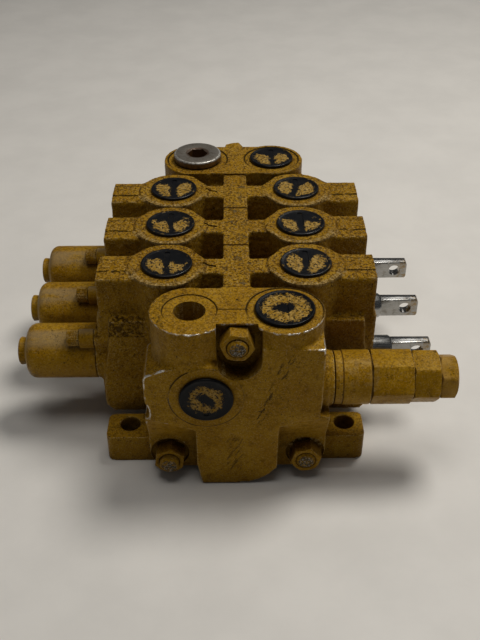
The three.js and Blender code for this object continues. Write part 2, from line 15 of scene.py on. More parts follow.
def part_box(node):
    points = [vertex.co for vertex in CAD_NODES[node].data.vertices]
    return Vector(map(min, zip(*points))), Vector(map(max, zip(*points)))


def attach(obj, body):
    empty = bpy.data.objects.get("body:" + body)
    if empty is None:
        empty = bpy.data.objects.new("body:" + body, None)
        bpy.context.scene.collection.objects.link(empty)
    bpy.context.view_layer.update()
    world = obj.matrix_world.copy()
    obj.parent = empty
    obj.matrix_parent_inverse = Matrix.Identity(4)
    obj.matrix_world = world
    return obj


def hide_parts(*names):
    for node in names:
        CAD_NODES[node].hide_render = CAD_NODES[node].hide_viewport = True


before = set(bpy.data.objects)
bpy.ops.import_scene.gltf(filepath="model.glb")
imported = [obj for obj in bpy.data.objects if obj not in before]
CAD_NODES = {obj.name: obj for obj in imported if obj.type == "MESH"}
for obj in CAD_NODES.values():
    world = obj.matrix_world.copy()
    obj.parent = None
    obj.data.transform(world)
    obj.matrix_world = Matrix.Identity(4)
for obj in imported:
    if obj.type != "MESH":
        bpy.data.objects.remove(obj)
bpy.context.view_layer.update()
MM = 0.001


# ---- Places taken from the frame ----
def middle(node):
    low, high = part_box(node)
    return (low + high) / 2


RIDGE_X = middle("tie_rod_top").x
FRONT_Y = middle("inlet_top_cap").y
PITCH = (middle("outlet_top_cap").y - FRONT_Y) / MM / 4
ROWS = [PITCH, PITCH * 2, PITCH * 3]
LAST_ROW = PITCH * 4
TOP = 110.0
HALF = PITCH / 2 - 0.15
STOCK = 0.7  # left on a casting's machined planes, then taken off
HOUSING = "housing"


# ---- Measures shared by shapes and paint, in millimetres ----
PORT_X = 39.7
BOSS_R = 22.0
BOSS_STEP = 0.75  # how far the ground boss tops stand above the cast bars
PORT_BORE_R = 10.2
SPOOL_Z = 48.5
SEAT_X = 83.7  # the sections' left end, where the spring caps sit
COVER_X = 25.4
COVER_FACES = {"inlet left": 14.7, "inlet right": 20.6, "outlet left": 20.4, "outlet right": 18.6}
FRONT_PORT = (-17, 67)
PORT_FACE = 21.8
PORT_PAD_R = 20.5
CREASE_Y = 0.85  # a parting crease across the inlet cover's top
SMALL_HEAD = 14.75  # dust cap radii
LARGE_HEAD = 16.15
RODS = {"top": (0, 99.5), "left": (-39.4, 15), "right": (39.4, 15)}
ROD_HOLE_R = 6
ROD_PLUG_R = 6.8
SCREW_RING = 20  # the spring caps' screws, round the spool
SCREW_ANGLE = 120
SPRING_CAP_SEAT = -84
SPRING_CAP_NECK = -127
RELIEF_Z = 63
RELIEF_COLLAR = 53.6  # where the relief valve's turned steps start
RELIEF_BARREL = 58
RELIEF_GROOVE = 73.7
RELIEF_HEX = 74.6


def place(x, y, z):
    return Vector((RIDGE_X + x * MM, FRONT_Y + y * MM, z * MM))


# ---- Shapes, in millimetres ----
AXES = {"X": (1, 2, 0), "Y": (0, 2, 1), "Z": (0, 1, 2)}  # the outline's two axes, then its own


def point(axis, a, b, along):
    first, second, own = AXES[axis]
    made = [0.0, 0.0, 0.0]
    made[first], made[second], made[own] = a, b, along
    return made


def revolve(profile, axis="Z", at=(0, 0, 0), segments=64):
    """A profile of (along, radius) turned round an axis; it starts and ends on the axis, or closes."""
    verts, rings = [], []
    for along, radius in profile:
        ring = []
        for i in range(segments if radius > 1e-6 else 1):
            angle = 2 * math.pi * i / segments
            where = point(axis, radius * math.cos(angle), radius * math.sin(angle), along)
            ring.append(len(verts))
            verts.append([w + o for w, o in zip(where, at)])
        rings.append(ring)
    faces = []
    closed = len(rings[0]) > 1
    pairs = list(zip(rings, rings[1:])) + ([(rings[-1], rings[0])] if closed else [])
    for low, high in pairs:
        for i in range(segments):
            j = (i + 1) % segments
            corners = [low[i % len(low)], low[j % len(low)], high[j % len(high)], high[i % len(high)]]
            face = list(dict.fromkeys(corners))
            if len(face) > 2:
                faces.append(face)
    return verts, faces


def rod(axis, radius, start, end, at=(0, 0, 0), segments=48):
    return revolve([(start, 0), (start, radius), (end, radius), (end, 0)], axis, at, segments)


def prism(outline, axis, start, end, at=(0, 0, 0)):
    count = len(outline)
    verts = [point(axis, a, b, along) for along in (start, end) for a, b in outline]
    verts = [[w + o for w, o in zip(v, at)] for v in verts]
    faces = [list(range(count)), list(range(2 * count - 1, count - 1, -1))]
    for i in range(count):
        j = (i + 1) % count
        faces.append([i, j, count + j, count + i])
    return verts, faces


def block(x0, x1, y0, y1, z0, z1):
    return prism([(x0, y0), (x1, y0), (x1, y1), (x0, y1)], "Z", z0, z1)


def arc(cx, cy, radius, start, end, steps=12):
    """Points on an arc, angles in degrees."""
    angles = [math.radians(start + (end - start) * i / steps) for i in range(steps + 1)]
    return [(cx + radius * math.cos(a), cy + radius * math.sin(a)) for a in angles]


def hexagon(cx, cy, flats, turn=0):
    reach = flats / 2 / math.cos(math.pi / 6)
    return arc(cx, cy, reach, turn, turn + 300, 5)


def from_cad(node, row, planes):
    """A CAD node's mesh in millimetres about its row, with stock left beyond its machined planes."""
    origin = place(0, row, 0)
    data = CAD_NODES[node].data
    verts = [list((v.co - origin) / MM) for v in data.vertices]
    for v in verts:
        for axis, sign, level in planes:
            if v[axis] * sign > level - 0.05:
                v[axis] += sign * STOCK
    return verts, [list(p.vertices) for p in data.polygons]


def mesh_of(name, *parts):
    """One mesh in metres from closed parts in millimetres."""
    bm = bmesh.new()
    for verts, faces in parts:
        made = [bm.verts.new((x * MM, y * MM, z * MM)) for x, y, z in verts]
        for face in faces:
            bm.faces.new([made[i] for i in face])
    bmesh.ops.remove_doubles(bm, verts=bm.verts, dist=1e-7)
    bmesh.ops.recalc_face_normals(bm, faces=bm.faces)
    data = bpy.data.meshes.new(name)
    bm.to_mesh(data)
    bm.free()
    return data


def object_of(name, data, at=(0, 0, 0)):
    made = bpy.data.objects.new(name, data)
    bpy.context.scene.collection.objects.link(made)
    made.location = place(*at)
    return made


def baked(obj):
    """The object's mesh with its modifiers applied; the object goes."""
    bpy.context.view_layer.update()
    evaluated = obj.evaluated_get(bpy.context.evaluated_depsgraph_get())
    data = bpy.data.meshes.new_from_object(evaluated)
    bpy.data.objects.remove(obj)
    return data


def carve(data, *cutters):
    """Cuts closed shapes out of a mesh, one after another."""
    work = object_of("work", data)
    tools = []
    for i, cutter in enumerate(cutters):
        tool = object_of("cutter", mesh_of("cutter", cutter))
        tools.append(tool)
        step = work.modifiers.new(f"cut{i}", "BOOLEAN")
        step.operation, step.solver, step.object = "DIFFERENCE", "MANIFOLD", tool
    made = baked(work)
    for tool in tools:
        bpy.data.objects.remove(tool)
    return made


def rounded(data, width, segments=2, angle=32):
    """Bevels the edges of a crisp mesh."""
    work = object_of("work", data)
    bevel = work.modifiers.new("bevel", "BEVEL")
    bevel.width, bevel.segments = width * MM, segments
    bevel.limit_method, bevel.angle_limit = "ANGLE", math.radians(angle)
    bevel.use_clamp_overlap = True
    return baked(work)


def cast(name, parts, voxel, rounds, planes, grain=0.0, shape=None):
    """Fuses overlapping parts into one casting with soft edges, then flattens its machined planes."""
    work = object_of("work", mesh_of(name, *parts))
    fuse = work.modifiers.new("fuse", "REMESH")
    fuse.mode, fuse.voxel_size = "VOXEL", voxel * 1.0 * MM
    soften = work.modifiers.new("soften", "SMOOTH")
    soften.factor, soften.iterations = 0.5, rounds
    if grain:
        sand = bpy.data.textures.new(f"{name}_sand", "CLOUDS")
        sand.noise_scale, sand.noise_depth = 0.0032, 2
        rough = work.modifiers.new("grain", "DISPLACE")
        rough.texture, rough.texture_coords = sand, "LOCAL"
        rough.strength, rough.mid_level = grain * MM, 0.5
    data = baked(work)
    co = np.empty(len(data.vertices) * 3)
    data.vertices.foreach_get("co", co)
    co = co.reshape(-1, 3) / MM
    if shape:
        shape(co)
    for axis, sign, level in planes:
        co[:, axis] = sign * np.minimum(co[:, axis] * sign, level)
    data.vertices.foreach_set("co", (co * MM).ravel())
    data.update()
    return data


def smooth(low, high, values):
    t = np.clip((values - low) / (high - low), 0, 1)
    return t * t * (3 - 2 * t)


def joined(operation, *solids):
    """Closed meshes fused ("UNION") or cut down to what they share ("INTERSECT")."""
    work = object_of("work", solids[0])
    tools = [object_of("tool", solid) for solid in solids[1:]]
    for i, tool in enumerate(tools):
        step = work.modifiers.new(f"join{i}", "BOOLEAN")
        step.operation, step.solver, step.object = operation, "MANIFOLD", tool
    made = baked(work)
    for tool in tools:
        bpy.data.objects.remove(tool)
    return made


def piece(name, data, material, replaces, at=(0, 0, 0), body=HOUSING, angle=38):
    """A finished piece of the model: shaded, painted, riding on its body."""
    made = object_of(name, data, at)
    data.materials.clear()
    data.materials.append(material)
    data.shade_smooth()
    data.set_sharp_from_angle(angle=math.radians(angle))
    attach(made, body)
    if replaces:
        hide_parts(*replaces)
    return made


# ---- Materials ----
def is_socket(value):
    return isinstance(value, bpy.types.NodeSocket)


class Shader:
    """A small helper that builds a node material, in millimetres of frame space."""

    def __init__(self, name):
        self.material = bpy.data.materials.new(name)
        self.material.use_nodes = True
        self.tree = self.material.node_tree
        self.bsdf = self.tree.nodes["Principled BSDF"]
        geometry = self.tree.nodes.new("ShaderNodeNewGeometry")
        self.geometry = geometry
        self.world = self.scaled(geometry.outputs["Position"], 1000)
        self.normal = geometry.outputs["Normal"]

    def link(self, value, socket):
        if is_socket(value):
            self.tree.links.new(value, socket)
        elif value is not None:
            socket.default_value = value

    def scaled(self, vector, amount):
        node = self.tree.nodes.new("ShaderNodeVectorMath")
        node.operation = "SCALE"
        self.link(vector, node.inputs[0])
        node.inputs["Scale"].default_value = amount
        return node.outputs[0]

    def object_space(self):
        node = self.tree.nodes.new("ShaderNodeTexCoord")
        return self.scaled(node.outputs["Object"], 1000)

    def moved(self, vector, offset):
        node = self.tree.nodes.new("ShaderNodeVectorMath")
        node.operation = "ADD"
        self.link(vector, node.inputs[0])
        node.inputs[1].default_value = offset
        return node.outputs[0]

    def split(self, vector):
        node = self.tree.nodes.new("ShaderNodeSeparateXYZ")
        self.link(vector, node.inputs[0])
        return node.outputs

    def math(self, operation, a, b=None):
        node = self.tree.nodes.new("ShaderNodeMath")
        node.operation = operation
        self.link(a, node.inputs[0])
        self.link(b, node.inputs[1])
        return node.outputs[0]

    def ramp(self, value, low, high, to_low=0.0, to_high=1.0):
        """A smooth step from to_low at low to to_high at high."""
        node = self.tree.nodes.new("ShaderNodeMapRange")
        node.interpolation_type = "SMOOTHSTEP"
        self.link(value, node.inputs["Value"])
        node.inputs["From Min"].default_value = low
        node.inputs["From Max"].default_value = high
        node.inputs["To Min"].default_value = to_low
        node.inputs["To Max"].default_value = to_high
        return node.outputs[0]

    def noise(self, size, detail=3.0, rough=0.55, vector=None, stretch=None):
        """Noise whose features are about `size` millimetres across."""
        node = self.tree.nodes.new("ShaderNodeTexNoise")
        source = vector if vector is not None else self.world
        if stretch:
            stretched = self.tree.nodes.new("ShaderNodeVectorMath")
            stretched.operation = "MULTIPLY"
            self.link(source, stretched.inputs[0])
            stretched.inputs[1].default_value = stretch
            source = stretched.outputs[0]
        self.link(source, node.inputs["Vector"])
        node.inputs["Scale"].default_value = 1 / size
        node.inputs["Detail"].default_value = detail
        node.inputs["Roughness"].default_value = rough
        return node.outputs["Fac"]

    def mix(self, factor, a, b):
        node = self.tree.nodes.new("ShaderNodeMix")
        node.data_type = "RGBA"
        self.link(factor, node.inputs["Factor"])
        self.link(a if is_socket(a) else (*a, 1), node.inputs[6])
        self.link(b if is_socket(b) else (*b, 1), node.inputs[7])
        return node.outputs[2]

    def blend(self, factor, a, b):
        node = self.tree.nodes.new("ShaderNodeMix")
        self.link(factor, node.inputs["Factor"])
        self.link(a, node.inputs[2])
        self.link(b, node.inputs[3])
        return node.outputs[0]

    def bump(self, height, strength, distance):
        node = self.tree.nodes.new("ShaderNodeBump")
        node.inputs["Strength"].default_value = strength
        node.inputs["Distance"].default_value = distance * MM
        self.link(height, node.inputs["Height"])
        return node.outputs[0]

    def folded(self, operation, values):
        made = values[0]
        for value in values[1:]:
            made = self.math(operation, made, value)
        return made

    def product(self, *values):
        return self.folded("MULTIPLY", values)

    def total(self, *values):
        return self.folded("ADD", values)

    def highest(self, *values):
        return self.folded("MAXIMUM", values)

    def minus(self, a, b):
        return self.math("SUBTRACT", a, b)

    def absolute(self, value):
        return self.math("ABSOLUTE", value)

    def distance(self, a, b):
        return self.math("SQRT", self.total(self.product(a, a), self.product(b, b)))

    def angle(self, a, b):
        """The angle round a centre, in radians."""
        return self.math("ARCTAN2", b, a)

    def vector(self, x, y, z=0.0):
        node = self.tree.nodes.new("ShaderNodeCombineXYZ")
        for value, socket in zip((x, y, z), node.inputs):
            self.link(value, socket)
        return node.outputs[0]

    def line(self, value, at, width):
        """1 where the value is `at`, falling to 0 at `width` from it."""
        away = self.absolute(self.minus(value, at))
        return self.ramp(away, width, width * 0.3)

    def between(self, value, low, high, soft):
        """1 inside low..high, 0 outside, over `soft`."""
        return self.product(self.ramp(value, low - soft, low), self.ramp(value, high + soft, high))

    def cavity(self, distance):
        """Dark where the surface is closed in within `distance` millimetres."""
        node = self.tree.nodes.new("ShaderNodeAmbientOcclusion")
        node.samples = 8
        node.inputs["Distance"].default_value = distance * MM
        return node.outputs["AO"]

    def bevelled(self, radius):
        """1 near a sharp outer or inner edge, 0 on the flat."""
        node = self.tree.nodes.new("ShaderNodeBevel")
        node.samples = 6
        node.inputs["Radius"].default_value = radius * MM
        turn = self.tree.nodes.new("ShaderNodeVectorMath")
        turn.operation = "DOT_PRODUCT"
        self.link(node.outputs[0], turn.inputs[0])
        self.link(self.normal, turn.inputs[1])
        return self.ramp(turn.outputs["Value"], 0.995, 0.94)

    def finish(self, color, roughness, metallic=0.0, normal=None):
        self.link(color if is_socket(color) else (*color, 1), self.bsdf.inputs["Base Color"])
        self.link(roughness, self.bsdf.inputs["Roughness"])
        self.link(metallic, self.bsdf.inputs["Metallic"])
        self.link(normal, self.bsdf.inputs["Normal"])
        return self.material


OCHRE = (0.275, 0.138, 0.003)
OCHRE_PALE = (0.35, 0.19, 0.010)
OCHRE_BROWN = (0.115, 0.050, 0.002)
OCHRE_DUSTY = (0.46, 0.32, 0.13)
# Dark brown for dirt in seams and steps, and for painted shade in hollows.
GRIME_AND_SHADE = (0.058, 0.023, 0.003)
SPECKLE = (0.070, 0.029, 0.001)
PIT = (0.022, 0.012, 0.003)
SCUFF = (0.085, 0.07, 0.045)
BARE = (0.60, 0.58, 0.54)
RUST = (0.12, 0.05, 0.02)
RUBBED = (0.47, 0.32, 0.12)
# Pale tan of the streak along the spring caps' barrels.
STREAK_TAN = (0.27, 0.20, 0.11)
DUST_PALE = (0.42, 0.31, 0.15)


def paint(name, grain=1.0, wear=0.5, gloss=0.42, marks=None, silver=None, crisp=False):
    """Ochre machine paint over metal: mottled, pitted, grimy and darkened with painted shade where closed
    in, rubbed on edges.

    marks(s) gives (mask, colour, depth) layers of a piece's own; silver(s) is where edges are bare.
    crisp pieces have few faces, so their edges are found by a bevel and not by the mesh's bend.
    """
    s = Shader(name)
    broad = s.noise(24, 4, 0.6)
    mottle = s.noise(4.5, 4, 0.65)
    fine = s.noise(1.5, 3, 0.7)
    grit = s.noise(0.9, 2, 0.6)
    speckle = 0.35 + 0.65 * min(grain, 1.0)
    upward = s.split(s.normal)[2]
    color = s.mix(s.ramp(broad, 0.35, 0.68), OCHRE, OCHRE_PALE)
    color = s.mix(s.product(s.ramp(mottle, 0.48, 0.72), 0.55), color, OCHRE_BROWN)
    on_top = s.ramp(upward, 0.3, 0.8, 0.45, 1.0)
    color = s.mix(s.product(s.ramp(fine, 0.48, 0.57), on_top, 0.95 * speckle), color, SPECKLE)
    color = s.mix(s.product(s.ramp(grit, 0.45, 0.36), 0.5 * speckle), color, OCHRE_DUSTY)
    height = s.total(s.product(fine, -1.2), s.product(s.noise(3.0, 2, 0.5), 1.2), s.product(grit, -0.5))

    # Hollows and creases found by ambient occlusion are painted darker: dirt and painted shade.
    closed = s.ramp(s.cavity(16), 0.2, 0.85, 1.0, 0.0)
    tight = s.ramp(s.cavity(3), 0.45, 0.95, 1.0, 0.0)
    grime_and_shade = s.product(s.highest(closed, tight), s.ramp(mottle, 0.25, 0.65, 0.55, 1.0), 0.85)
    color = s.mix(grime_and_shade, color, GRIME_AND_SHADE)

    bend = s.product(s.geometry.outputs["Pointiness"], s.ramp(upward, 0.985, 0.93))
    edge = s.bevelled(0.7) if crisp else s.ramp(bend, 0.508, 0.55)
    worn_from = 0.62 - 0.25 * wear
    rub = s.product(edge, s.ramp(mottle, worn_from, worn_from + 0.1), s.ramp(grit, 0.6, 0.45), 0.8)
    color = s.mix(rub, color, OCHRE_DUSTY)
    chip = s.product(edge, s.ramp(s.noise(2.6, 5, 0.75), 0.60, 0.64), 0.8)
    color = s.mix(chip, color, PIT)
    for mask, tint, depth in (marks(s) if marks else ()):
        color = s.mix(mask, color, tint)
        height = s.minus(height, s.product(mask, depth))
    pits = s.product(s.ramp(s.noise(0.95, 2, 0.5), 0.62, 0.67), s.ramp(s.noise(11, 3, 0.6), 0.42, 0.58))
    color = s.mix(s.product(pits, 0.85), color, PIT)
    metal = 0.0
    if silver:
        chips = s.ramp(s.noise(1.7, 5, 0.8), 0.44, 0.48)
        metal = s.product(s.ramp(bend, 0.512, 0.53), silver(s), chips)
        color = s.mix(metal, color, BARE)

    rough = s.blend(grime_and_shade, s.ramp(mottle, 0.3, 0.7, gloss - 0.07, gloss + 0.14), 0.8)
    normal = s.bump(s.minus(height, s.product(pits, 0.8)), min(1.0, 0.9 * grain), 0.8)
    s.bsdf.inputs["Specular IOR Level"].default_value = 0.16
    s.bsdf.inputs["Specular Tint"].default_value = (1.0, 0.72, 0.2, 1)
    return s.finish(color, rough, metal, normal)


def bare_steel(name, color=(0.30, 0.285, 0.265), rust=0.3, gloss=0.38):
    s = Shader(name)
    stain = s.ramp(s.noise(4, 5, 0.7), 0.58 - 0.2 * rust, 0.75)
    tint = s.mix(s.noise(1.2, 3), color, tuple(c * 0.62 for c in color))
    tint = s.mix(s.product(stain, min(1.0, rust * 1.8)), tint, RUST)
    normal = s.bump(s.noise(0.35, 2, 0.5), 0.2, 0.08)
    return s.finish(tint, s.blend(stain, gloss, 0.7), s.blend(stain, 0.95, 0.3), normal)


def chrome(name):
    """Ground and plated bar, smeared, with old oil gone brown towards the drilled eye."""
    s = Shader(name)
    local = s.object_space()
    lines = s.noise(0.5, 2, 0.5, vector=local, stretch=(0.06, 1, 1))
    smear = s.noise(4, 4, 0.65, vector=local)
    color = s.mix(s.ramp(smear, 0.48, 0.72), (0.36, 0.355, 0.34), (0.22, 0.205, 0.175))
    blotch = s.ramp(s.noise(2, 4, 0.7, vector=local), 0.45, 0.6)
    stain = s.product(s.ramp(s.split(local)[0], 104, 117), blotch)
    color = s.mix(s.product(stain, 0.6), color, (0.30, 0.19, 0.06))
    return s.finish(color, s.ramp(lines, 0.3, 0.7, 0.17, 0.3), 1.0, s.bump(lines, 0.15, 0.03))


def plug_steel(name):
    """Turned steel gone brown at the side, handled to a dull shine on top."""
    s = Shader(name)
    x, y, z = s.split(s.object_space())
    radius = s.distance(x, y)
    rings = s.noise(0.35, 2, 0.6, vector=s.vector(radius, 0.0))
    stain = s.ramp(s.noise(5, 5, 0.7), 0.42, 0.7)
    face = s.mix(stain, (0.20, 0.18, 0.15), (0.10, 0.08, 0.06))
    side = s.mix(s.ramp(s.noise(3, 5, 0.7), 0.4, 0.65), (0.13, 0.062, 0.012), (0.035, 0.018, 0.006))
    high = s.ramp(z, 3.6, 4.4)
    rim = s.product(s.between(radius, 15.0, 17.0, 0.4), high, s.ramp(s.noise(1.5, 4, 0.7), 0.4, 0.5))
    color = s.mix(s.product(rim, 0.7), s.mix(high, side, face), (0.55, 0.53, 0.48))
    # Dark inside the hex socket: painted shade in the recess.
    inside = s.ramp(radius, 8.4, 7.4)
    color = s.mix(s.product(inside, 0.75), color, (0.06, 0.025, 0.008))
    normal = s.bump(s.total(rings, s.noise(0.8, 3)), 0.35, 0.1)
    return s.finish(color, s.blend(stain, 0.36, 0.6), s.blend(high, 0.1, 0.55), normal)


def bar_spray(s, head, local, shifted, jag, top, tilt, half):
    """Patches of overspray either side of a dark bar, and a broken ring near the rim."""
    x, y, _ = s.split(local)
    radius = s.distance(x, y)
    inside = s.ramp(s.total(radius, s.product(jag, 0.6)), head * 0.77, head * 0.74)
    drift = s.product(s.minus(s.noise(9.0, 2, 0.5, vector=shifted), 0.5), head * 1.1)
    limit = head * (top - 0.1)
    low = s.ramp(s.total(y, drift, jag), limit + 0.3, limit - 0.3)
    lean = s.absolute(s.minus(x, s.product(y, tilt)))
    spread = s.product(s.ramp(y, -0.05 * head, 0.7 * head), 0.28 * head)
    bar = s.minus(s.total(lean, s.product(jag, 0.5)), spread)
    patches = s.product(inside, low, s.ramp(bar, half + 0.1, half + 0.5))
    broken = s.ramp(s.noise(3.1, 3, vector=shifted), 0.6, 0.66)
    ring = s.product(s.line(radius, head * 0.93, 0.9), broken)
    return s.highest(patches, s.product(ring, 0.5))


def core_spray(s, local, jag, outer, length, width, turn):
    """One ring of overspray round a dark oblong middle."""
    x, y, _ = s.split(local)
    inside = s.ramp(s.total(s.distance(x, y), s.product(jag, 0.7)), outer + 0.25, outer - 0.25)
    along = s.total(s.product(x, math.cos(turn) / length), s.product(y, math.sin(turn) / length))
    across = s.total(s.product(x, -math.sin(turn) / width), s.product(y, math.cos(turn) / width))
    core = s.distance(along, across)
    return s.product(inside, s.ramp(s.total(core, s.product(jag, 0.12)), 0.93, 1.07))


def black_plastic(name, head, seed, shape):
    """Moulded black cap with ochre overspray left on it in ragged patches.

    shape is ("bar", top, tilt, half) for bar_spray or ("core", outer, length, width, turn) for
    core_spray.
    """
    s = Shader(name)
    local = s.object_space()
    shifted = s.moved(local, (seed * 17.3, seed * 7.1, 0))
    x, y, _ = s.split(local)
    jag = s.product(s.minus(s.noise(4.0, 6, 0.85, vector=shifted), 0.5), head * 1.45)
    kind, *sizes = shape
    if kind == "bar":
        spray = bar_spray(s, head, local, shifted, jag, *sizes)
    else:
        spray = core_spray(s, local, jag, *sizes)
    fleck = s.ramp(s.noise(1.5, 4, 0.75, vector=shifted), 0.44, 0.48)
    on_face = s.ramp(s.distance(x, y), head, head * 0.8)
    stray = s.product(s.ramp(s.noise(1.3, 3, 0.7, vector=shifted), 0.70, 0.73), on_face)
    spray = s.highest(s.product(spray, fleck), stray)
    shade = s.ramp(s.noise(2.2, 3, 0.6, vector=shifted), 0.35, 0.7)
    tone = s.mix(shade, (0.26, 0.14, 0.008), (0.38, 0.24, 0.06))
    dust = s.ramp(s.noise(5, 4, 0.6, vector=shifted), 0.45, 0.8)
    color = s.mix(spray, s.mix(dust, (0.004, 0.0042, 0.005), (0.014, 0.013, 0.012)), tone)
    s.bsdf.inputs["Specular IOR Level"].default_value = 0.25 if kind == "bar" else 0.12
    height = s.total(s.product(spray, 1.3), s.noise(0.7, 2, vector=shifted))
    return s.finish(color, s.blend(spray, 0.30, 0.55), 0.0, s.bump(height, 0.5, 0.12))


def rubber(name):
    s = Shader(name)
    color = s.mix(s.noise(1.5, 3), (0.012, 0.012, 0.012), (0.03, 0.028, 0.025))
    return s.finish(color, 0.7, 0.0, s.bump(s.noise(0.5, 2), 0.3, 0.05))


def section_marks(s):
    """Seams at the joints, tool lines on the bars, rubbed boss rims, scuffs, a rough left patch."""
    x, y, z = s.split(s.object_space())
    _, facing_y, facing_up = s.split(s.normal)
    side = s.absolute(x)
    top = s.product(s.ramp(facing_up, 0.6, 0.9), s.ramp(z, TOP - 4, TOP - 2))
    near_joint = s.ramp(s.absolute(y), HALF - 0.75, HALF - 0.25)
    seam = s.product(near_joint, s.ramp(s.absolute(facing_y), 0.9, 0.6))

    wobble = s.total(y, s.product(s.minus(s.noise(9, 3), 0.5), 2.6))
    lines = s.highest(s.line(wobble, 7.2, 0.75), s.line(wobble, -5.2, 0.75))
    lines = s.product(lines, top, s.ramp(side, 61, 64), s.ramp(s.noise(3.5, 4, 0.7), 0.42, 0.52))

    from_port = s.minus(side, PORT_X)
    away = s.distance(from_port, y)
    around = s.product(s.angle(from_port, y), 13)
    streaks = s.noise(1.0, 4, 0.8, vector=s.vector(around, s.product(away, 0.35)))
    band = s.between(away, 19.3, BOSS_R + 1.2, 0.8)
    rubbed = s.product(band, s.ramp(y, -2, -11), s.ramp(streaks, 0.44, 0.56), s.ramp(z, TOP - 2, TOP - 1))
    rim = s.between(away, BOSS_R - 1.2, BOSS_R + 0.6, 0.5)
    chips = s.product(rim, s.ramp(s.noise(2.2, 5, 0.8), 0.6, 0.64), top)
    foot = s.product(s.line(away, BOSS_R + 0.4, 0.8), s.ramp(z, TOP - 3, TOP - 1.5))
    step = s.product(foot, s.ramp(s.noise(5), 0.4, 0.6))

    scuff = s.product(s.ramp(side, 9, 7.5), top, s.ramp(s.noise(5.5, 5, 0.75), 0.56, 0.62))
    patch = s.product(s.between(x, -80.5, -54, 1), s.ramp(y, -14, -15), s.between(z, 73.5, 85, 1))
    rough = s.product(patch, s.ramp(s.noise(1.6, 4, 0.7), 0.5, 0.58))
    return [
        (s.product(lines, 0.85), PIT, 1.8),
        (s.product(rubbed, 0.85), RUBBED, -0.5),
        (chips, PIT, 1.0),
        (s.product(step, 0.7), GRIME_AND_SHADE, 1.0),
        (s.product(scuff, 0.7), SCUFF, 0.6),
        (s.product(rough, 0.8), GRIME_AND_SHADE, 3.0),
        (s.product(seam, 0.9), GRIME_AND_SHADE, 2.0),
    ]


def inlet_marks(s):
    """Dirt in the steps round the spotfaces, a parting crease, scratches on the front face."""
    x, y, z = s.split(s.object_space())
    _, facing_y, facing_up = s.split(s.normal)
    top = s.product(s.ramp(facing_up, 0.8, 0.95), s.ramp(z, TOP - 2, TOP - 1))
    left = s.distance(s.total(x, COVER_X), y)
    from_right = s.minus(x, COVER_X)
    right = s.distance(from_right, y)
    arc_left = s.product(s.line(left, COVER_FACES["inlet left"], 0.6), s.ramp(y, -9, 3, 0.25, 1.0))
    arc_right = s.product(s.line(right, COVER_FACES["inlet right"], 0.75), s.ramp(y, -10, 2, 0.2, 1.0))
    thick = s.product(s.line(right, 21.2, 1.5), s.between(s.angle(from_right, y), -0.35, 1.5, 0.2))
    thick = s.product(thick, s.ramp(s.noise(4, 4, 0.7), 0.4, 0.5))
    crease = s.product(s.line(y, CREASE_Y, 0.6), s.between(x, -11.0, 5.2, 0.3))
    dot = s.distance(s.minus(x, 5.0), s.minus(y, CREASE_Y))
    speck = s.distance(x, s.minus(y, 9.5))
    drawn = s.highest(arc_left, arc_right, crease, s.ramp(dot, 1.0, 0.6), s.ramp(speck, 0.9, 0.5), thick)
    drawn = s.product(drawn, top, s.ramp(s.noise(2.5, 3), 0.3, 0.45, 0.55, 1.0))
    cracked = s.product(s.ramp(left, 15, 17), s.ramp(x, -36, -40), top)
    cracks = s.product(cracked, s.line(s.noise(5, 5, 0.7), 0.5, 0.025))

    face = s.product(s.ramp(facing_y, -0.6, -0.9), s.ramp(y, -18, -20))
    across, rise = s.minus(x, FRONT_PORT[0]), s.minus(z, FRONT_PORT[1])
    around = s.angle(across, rise)
    weight = s.highest(s.ramp(around, -0.2, -0.7), s.between(around, 2.1, 2.75, 0.15), 0.3)
    ring = s.product(s.line(s.distance(across, rise), PORT_PAD_R, 0.55), face, weight)
    slant_x = s.total(s.product(x, 0.86), s.product(z, -0.51))
    slant_z = s.product(s.total(s.product(x, 0.51), s.product(z, 0.86)), 0.2)
    strokes = s.ramp(s.noise(1.8, 5, 0.8, vector=s.vector(slant_x, 0.0, slant_z)), 0.53, 0.57)
    along = s.minus(x, s.product(s.minus(z, FRONT_PORT[1]), 0.36))
    upper = s.product(strokes, face, s.between(along, 15.5, 20, 1.5), s.between(z, 50, 92, 4))
    lower = s.product(strokes, face, s.between(x, -5, 2, 2), s.between(z, 12, 34, 4))
    scratches = s.highest(upper, s.product(lower, 0.8))
    seam = s.product(s.ramp(y, HALF - 0.7, HALF - 0.2), s.ramp(facing_y, 0.9, 0.6))
    return [
        (s.product(drawn, 0.95), PIT, 1.5),
        (cracks, PIT, 1.2),
        (s.product(ring, 0.9), PIT, 1.5),
        (s.product(scratches, 0.85), PIT, 1.2),
        (seam, GRIME_AND_SHADE, 2.0),
    ]


def inlet_silver(s):
    """Bare edges: the front rims of both bosses, the left shoulder and the right top corner."""
    x, y, z = s.split(s.object_space())
    away = s.distance(s.minus(s.absolute(x), COVER_X), y)
    rims = s.product(s.ramp(y, -6, -12), s.ramp(z, TOP - 5, TOP - 2), s.ramp(away, 20.7, 21.2))
    shoulder = s.product(s.ramp(x, -36, -40), s.between(z, 50, 90, 6))
    corner = s.product(s.ramp(x, 36, 40), s.between(z, 88, 100, 3))
    patchy = s.ramp(s.noise(7, 3, 0.6), 0.42, 0.5)
    return s.product(s.highest(rims, shoulder, corner), patchy)


def outlet_marks(s):
    """Dirt in the steps round both spotfaces and along the joint."""
    x, y, z = s.split(s.object_space())
    away = s.distance(s.minus(s.absolute(x), COVER_X), y)
    radius = s.ramp(x, -1, 1, COVER_FACES["outlet left"], COVER_FACES["outlet right"])
    ring = s.ramp(s.absolute(s.minus(away, radius)), 0.75, 0.25)
    ring = s.product(ring, s.ramp(z, TOP - 2, TOP - 1), s.ramp(y, -13, -2, 0.2, 1.0))
    seam = s.product(s.ramp(y, -HALF + 0.7, -HALF + 0.2), s.ramp(s.split(s.normal)[1], -0.9, -0.6))
    return [(s.product(ring, 0.9), PIT, 1.5), (s.product(seam, 0.9), GRIME_AND_SHADE, 2.0)]


